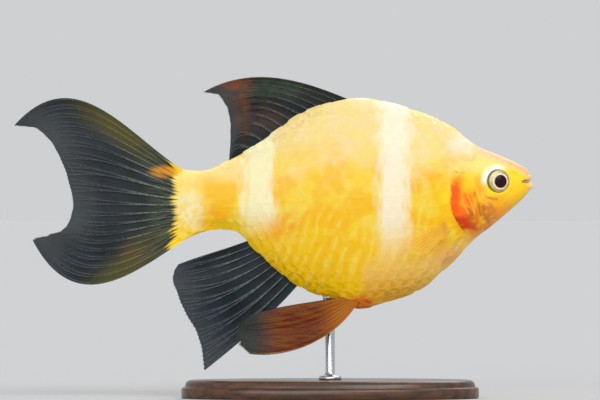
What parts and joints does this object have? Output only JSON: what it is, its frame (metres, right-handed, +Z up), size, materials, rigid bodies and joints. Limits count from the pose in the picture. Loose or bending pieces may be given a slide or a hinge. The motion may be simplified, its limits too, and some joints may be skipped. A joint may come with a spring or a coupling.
{
  "type": "golden long-finned tiger barb model",
  "caption": "Life-size still model of a golden long-finned tiger barb, held in mid-swim on a plain oval base by one short rod.",
  "frame": {"origin": "middle of the stand's flat underside", "axes": "+X towards the fish's snout, +Z up, so that the fish's right flank faces -Y"},
  "size_m": [0.0738, 0.022, 0.0453],
  "materials": {
    "body_skin": "moist golden skin with two pale bands",
    "head_skin": "moist golden skin",
    "gill_cover": "thin translucent orange plate",
    "eye": "wet, dark pupil in a pale ring",
    "smoky_fin": "smoky see-through web on pale rays",
    "orange_fin": "orange web on pale rays",
    "clear_fin": "almost clear web",
    "stand_wood": "dark satin wood",
    "stand_steel": "brushed"
  },
  "bodies": {
    "root": {"head": "head_skin", "trunk": "body_skin", "tail_stalk": "body_skin", "gill_cover_right": "gill_cover", "gill_cover_left": "gill_cover", "eye_right": "eye", "eye_left": "eye", "dorsal_fin": "smoky_fin", "caudal_fin_upper": "smoky_fin", "caudal_fin_lower": "smoky_fin", "anal_fin": "smoky_fin", "pelvic_fin_right": "orange_fin", "pelvic_fin_left": "orange_fin", "pectoral_fin_right": "clear_fin", "pectoral_fin_left": "clear_fin", "stand_base": "stand_wood", "stand_rod": "stand_steel"}
  },
  "joints": []
}
